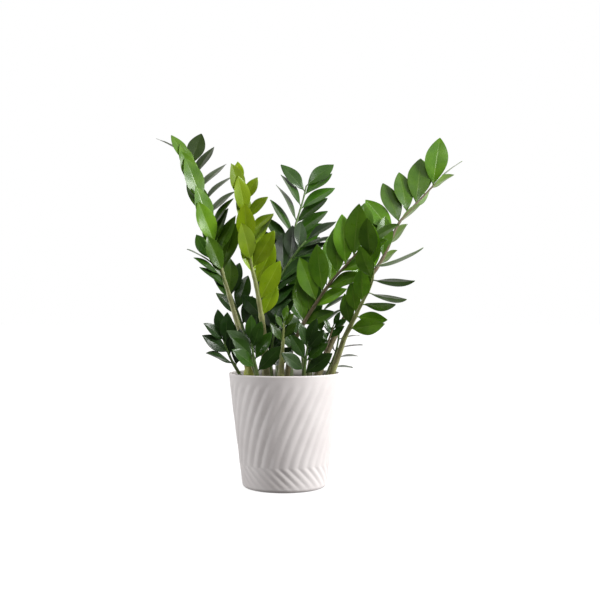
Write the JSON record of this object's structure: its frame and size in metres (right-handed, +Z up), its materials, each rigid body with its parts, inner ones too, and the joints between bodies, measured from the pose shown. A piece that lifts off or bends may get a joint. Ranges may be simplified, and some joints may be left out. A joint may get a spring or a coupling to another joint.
{
  "type": "potted zz plant",
  "caption": "Upright house plant with arching fronds of glossy leaflets, standing in a tapered pot with slanting ridges.",
  "frame": {"origin": "centre of the flat underside of the pot", "axes": "+Z up along the pot's axis, +X to the plant's right as seen from the front, -Y towards the front"},
  "size_m": [0.6861, 0.4734, 0.7737],
  "materials": {
    "pot_glaze": "satin",
    "potting_mix": "matte",
    "tuber_skin": "matte",
    "sheath": "satin",
    "leaf_mid_green": "gloss",
    "leaf_fresh_green": "gloss",
    "leaf_deep_green": "gloss",
    "leaf_dark_green": "gloss",
    "leaf_lime": "gloss"
  },
  "bodies": {
    "root": {"pot": "pot_glaze", "soil": "potting_mix", "cataphyll": "sheath", "rhizome_left": "tuber_skin", "rhizome_front": "tuber_skin", "rhizome_right": "tuber_skin", "rhizome_back": "tuber_skin", "frond_left_tall": "leaf_mid_green", "frond_lime": "leaf_lime", "frond_back_centre": "leaf_dark_green", "frond_back_diagonal": "leaf_dark_green", "frond_centre_right": "leaf_fresh_green", "frond_right_front": "leaf_fresh_green", "frond_right_tall": "leaf_mid_green", "frond_back_left": "leaf_deep_green", "frond_back_right": "leaf_deep_green", "frond_back_tall": "leaf_deep_green", "frond_low_left": "leaf_dark_green", "frond_low_middle": "leaf_deep_green", "frond_young_thick": "leaf_fresh_green", "frond_low_front": "leaf_deep_green", "frond_low_centre": "leaf_dark_green", "frond_low_back": "leaf_dark_green", "frond_low_inner": "leaf_dark_green", "frond_thin_inner": "leaf_deep_green", "frond_low_right": "leaf_dark_green"}
  },
  "joints": []
}
